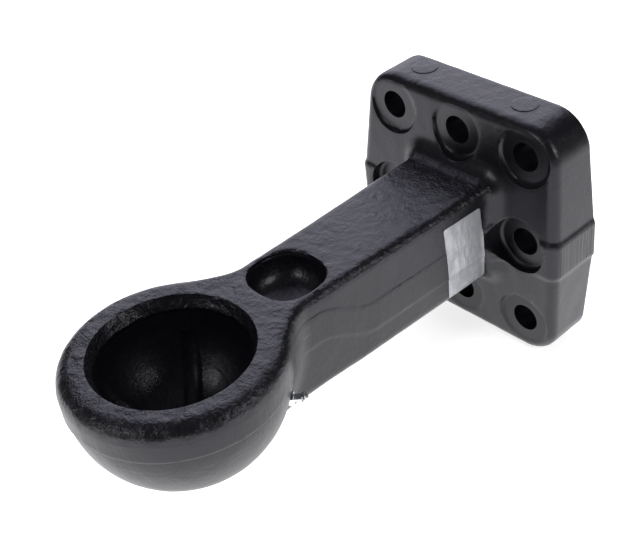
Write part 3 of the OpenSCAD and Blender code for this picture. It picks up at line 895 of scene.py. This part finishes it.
def coil(along, round_steps):
    """A wire carried along a helix: a ring of points round the wire at every step, in the plane of
    the radius and the axis, and one point in the middle of each end. The height grows with the
    angle less a sine, so that the turns at both ends lie almost flat."""
    t = np.linspace(0, 1, along)
    risen = t - flat_ends / spring_turns * np.sin(2 * math.pi * t) / (2 * math.pi)
    height = spring_low + (spring_high - spring_low) * risen
    angle = 2 * math.pi * spring_turns * t
    ring = np.arange(round_steps)
    around = ring * 2 * math.pi / round_steps
    radius = spring_r + wire_r * np.cos(around)[None, :]
    lift = height[:, None] + wire_r * np.sin(around)[None, :]
    ahead, aside = np.cos(angle), np.sin(angle)
    points = np.stack([radius * ahead[:, None], radius * aside[:, None], lift], 2).reshape(-1, 3)
    both = [0, -1]
    middles = np.stack([spring_r * ahead[both], spring_r * aside[both], height[both]], 1)
    a, b, c, d = rows_of_quads(along, round_steps)
    quads = np.stack([a, d, c, b], 2).reshape(-1, 4)
    after, count = (ring + 1) % round_steps, along * round_steps
    last = count - round_steps
    low_cap = np.stack([ring, after, np.full(round_steps, count)], 1)
    high_cap = np.stack([last + after, last + ring, np.full(round_steps, count + 1)], 1)
    return np.vstack([points, middles]), [quads, low_cap, high_cap]


drawn_wire = metal(
    "drawn_wire", (0.5, 0.51, 0.53, 1),
    scale=5000.0, detail=2.0, smoothest=0.28, roughest=0.42,
)
steps_per_turn = 24
points, faces = coil(along=steps_per_turn * spring_turns + 1, round_steps=10)
points = on_nipple_axis(points)
spring = new_piece("return_spring", points, faces, drawn_wire, "hitch", sharp=60)
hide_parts("valve_spring")
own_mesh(spring)


def foil_grid(steps_x, steps_z):
    """The label's outline as a grid, leaning a little: rows from bottom to top, each shortened by
    what the rounded corners take off it, which is the radius less the half chord at its height."""
    radius = label_corner_r
    ends = radius * (1 - np.cos(np.linspace(0, math.pi / 2, 7)))
    height = label_top + label_bottom
    between = np.linspace(radius, height - radius, steps_z)[1:-1]
    rows = np.concatenate([ends, between, (height - ends)[::-1]])
    into = np.maximum(0, radius - np.minimum(rows, height - rows))
    inset = radius - np.sqrt(np.maximum(radius**2 - into**2, 0))
    share = np.linspace(0, 1, steps_x)
    along = label_x + inset[:, None] + (label_l - 2 * inset[:, None]) * share
    heights = np.repeat((rows - label_bottom)[:, None], steps_x, 1)
    return along - label_lean * (label_top - heights), heights


def on_skin(x, z, off):
    """Sideways place of the points that stand off the smooth neck by a distance: each step moves
    a point by what it still lacks."""
    start, steps = 40.0, 24
    y = np.full_like(x, start)
    for _ in range(steps):
        y = y - (smooth_forging(x, y, z) - off)
    return y


def sheet_faces(grid):
    """Faces of a thin sheet from the numbers of its outer points on a grid. The inner points carry
    on from the last number in the same order. Both sides and the rim between them."""
    count = grid.size
    a, b = grid[:-1, :-1].ravel(), grid[:-1, 1:].ravel()
    c, d = grid[1:, 1:].ravel(), grid[1:, :-1].ravel()
    rim = np.concatenate([grid[0, :-1], grid[:-1, -1], grid[-1, :0:-1], grid[:0:-1, 0]])
    after = np.roll(rim, -1)
    return [
        np.stack([a, d, c, b], 1),
        np.stack([a, b, c, d], 1) + count,
        np.stack([rim, after, after + count, rim + count], 1),
    ]


# The label, slightly creased, with its back a hair off the skin
foil_off, foil_back, crease_h = 0.2, 0.05, 0.07
x, z = foil_grid(steps_x=49, steps_z=72)
creases = plane_waves(x, x * 0, z, lengths=[5, 7, 9, 12, 17, 24], seed=11)
outer, inner = on_skin(x, z, foil_off + crease_h * creases), on_skin(x, z, foil_back)
pairs = (x, x), (outer, inner), (z, z)
points = np.stack([np.concatenate([a.ravel(), b.ravel()]) for a, b in pairs], 1)
faces = sheet_faces(np.arange(x.size).reshape(x.shape))
foil = new_piece("foil_label", points * MM, faces, label_foil(), "hitch", sharp=50)
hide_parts("label")

# Studio: white surroundings and a pale floor a hair below the part. The camera
# sees both as white, and gloss sees the floor fade with distance
middle = (0.17, 0.0, 0.0)
floor_gap = 0.3
floor_half = 30.0
floor_z = -(flange_bottom + floor_gap) * MM
world_light = 0.06
scene = bpy.context.scene
scene.view_settings.view_transform = "Standard"
world = bpy.data.worlds.new("white_studio")
scene.world = world
world.use_nodes = True
sky = world.node_tree
background = sky.nodes["Background"].inputs
seen = add(sky, "LightPath").outputs["Is Camera Ray"]
background["Color"].default_value = (1, 1, 1, 1)
sky.links.new(ramp(sky, seen, 0.0, 1.0, world_light, 1.0), background["Strength"])


def pale_card():
    """Matt white floor. For camera rays it glows more with distance, for gloss less. It is clear
    from beneath, so that it hides nothing in a view from below."""
    card, tree, shader = material(
        "pale_floor",
        Base_Color=(0.86, 0.86, 0.86, 1),
        Roughness=0.9,
        Specular_IOR_Level=0.0,
        Emission_Color=(1, 1, 1, 1),
    )
    rays = add(tree, "LightPath").outputs
    links = {0: on_object(tree), 1: (middle[0], middle[1], floor_z)}
    away = add(tree, "VectorMath", links, operation="DISTANCE").outputs["Value"]
    glow = product(tree, rays["Is Glossy Ray"], ramp(tree, away, 0.3, 1.1, 1.05, 0.05))
    glow = plus_product(tree, glow, rays["Is Camera Ray"], ramp(tree, away, 0.5, 1.5, 0.8, 1.0))
    tree.links.new(glow, shader.inputs["Emission Strength"])
    below = add(tree, "NewGeometry").outputs["Backfacing"]
    clear = add(tree, "BsdfTransparent").outputs[0]
    either = add(tree, "MixShader", {0: below, 1: shader.outputs[0], 2: clear}).outputs[0]
    tree.links.new(either, tree.nodes["Material Output"].inputs["Surface"])
    return card


floor_mesh = bpy.data.meshes.new("floor")
corners = [(-1, -1), (1, -1), (1, 1), (-1, 1)]
corners = [(a * floor_half, b * floor_half, floor_z) for a, b in corners]
floor_mesh.from_pydata(corners, [], [(0, 1, 2, 3)])
floor = bpy.data.objects.new("floor", floor_mesh)
scene.collection.objects.link(floor)
floor_mesh.materials.append(pale_card())


def soft_box(name, azimuth, elevation, away, size, power, tint=(1, 1, 1), in_gloss=True):
    """Square lamp that faces the middle of the part, from a direction in degrees and a distance."""
    lamp = bpy.data.lights.new(name, "AREA")
    lamp.shape = "SQUARE"
    lamp.size = size
    lamp.energy = power
    lamp.color = tint
    a, e = math.radians(azimuth), math.radians(elevation)
    way = Vector((math.cos(a) * math.cos(e), math.sin(a) * math.cos(e), math.sin(e)))
    box = bpy.data.objects.new(name, lamp)
    box.location = Vector(middle) + way * away
    box.rotation_mode = "QUATERNION"
    box.rotation_quaternion = way.to_track_quat("Z", "Y")
    box.visible_glossy = in_gloss
    scene.collection.objects.link(box)


soft_box("soft_box_right", azimuth=108, elevation=27, away=1.3, size=0.34, power=4)
soft_box("soft_box_left", azimuth=-9, elevation=33, away=1.3, size=0.34, power=3.2)
soft_box(
    "back_light", azimuth=-134, elevation=33, away=1.6, size=1.8, power=19, tint=(0.87, 0.86, 1.0)
)
soft_box(
    "top_light", azimuth=60, elevation=84, away=1.4, size=0.9, power=10, in_gloss=False
)

# Camera: where the photo's camera stood, solved from the bolt holes and the
# socket's circles
lens = bpy.data.cameras.new("camera")
lens.sensor_width = 36
lens.lens = 66.2537
lens.clip_start, lens.clip_end = 0.01, 100
camera = bpy.data.objects.new("camera", lens)
right = Vector((-0.7241157, 0.6814137, -0.1064511))
down = Vector((0.4790355, 0.3858864, -0.7884267))
turn = Matrix((right, -down, -right.cross(down))).transposed().to_4x4()
turn.translation = Vector((0.4657256, 0.4002903, 0.4099500))
camera.matrix_world = turn
scene.collection.objects.link(camera)
scene.camera = camera
